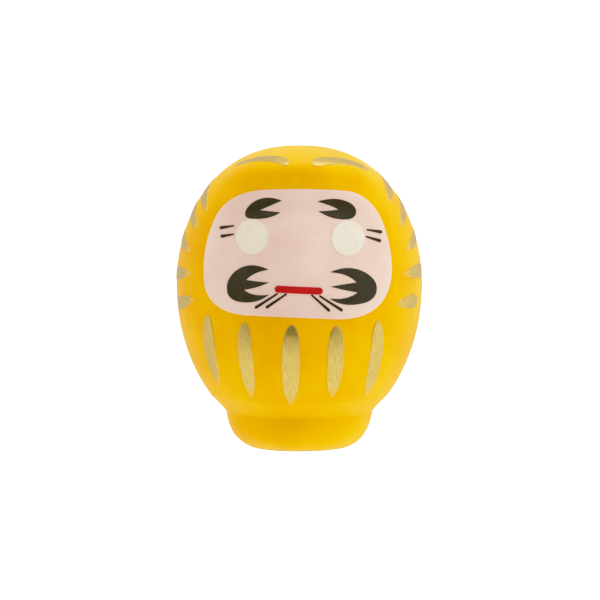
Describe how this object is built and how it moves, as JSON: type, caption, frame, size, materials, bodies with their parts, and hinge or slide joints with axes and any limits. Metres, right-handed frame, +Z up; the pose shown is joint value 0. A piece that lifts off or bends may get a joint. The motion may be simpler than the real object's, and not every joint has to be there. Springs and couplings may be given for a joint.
{
  "type": "daruma doll",
  "caption": "Small round papier-mache wishing doll with a hooded painted face, gold robe strokes and a narrow weighted clay foot.",
  "frame": {"origin": "on the table, under the middle of the doll's box", "axes": "+Z up through the crown, -Y the way the face looks, +X to the right of somebody who faces the doll"},
  "size_m": [0.0488, 0.0487, 0.06],
  "materials": {
    "yellow_lacquer": "satin yellow lacquer brushed over a white gofun ground",
    "flesh_paint": "matt pale flesh gofun paint",
    "eye_paint": "matt cream white gofun paint",
    "black_ink": "black brush ink with a slight sheen",
    "red_paint": "bright red paint, slightly raised",
    "gold_paint": "pale metallic gold paint with brush streaks",
    "paper_pulp": "bare grey papier-mache inside",
    "bare_clay": "unfired buff clay, matt and slightly chalky",
    "hide_glue": "dried amber hide glue"
  },
  "bodies": {
    "root": {"paper_shell": "paper_pulp", "clay_foot": "bare_clay", "glue_ring": "hide_glue", "colour_coat": "yellow_lacquer", "face_paint": "flesh_paint", "eye_white_left": "eye_paint", "eye_white_right": "eye_paint", "brow_left": "black_ink", "brow_right": "black_ink", "beard_left": "black_ink", "beard_right": "black_ink", "temple_lines_left": "black_ink", "temple_lines_right": "black_ink", "whiskers_left": "black_ink", "whiskers_right": "black_ink", "mouth": "red_paint", "robe_stroke_1": "gold_paint", "robe_stroke_2": "gold_paint", "robe_stroke_3": "gold_paint", "robe_stroke_4": "gold_paint", "robe_stroke_5": "gold_paint", "side_stroke_left_1": "gold_paint", "side_stroke_left_2": "gold_paint", "side_stroke_left_3": "gold_paint", "side_stroke_left_4": "gold_paint", "side_stroke_left_5": "gold_paint", "side_stroke_right_1": "gold_paint", "side_stroke_right_2": "gold_paint", "side_stroke_right_3": "gold_paint", "side_stroke_right_4": "gold_paint", "side_stroke_right_5": "gold_paint", "hood_stroke_left": "gold_paint", "hood_stroke_right": "gold_paint"}
  },
  "joints": []
}
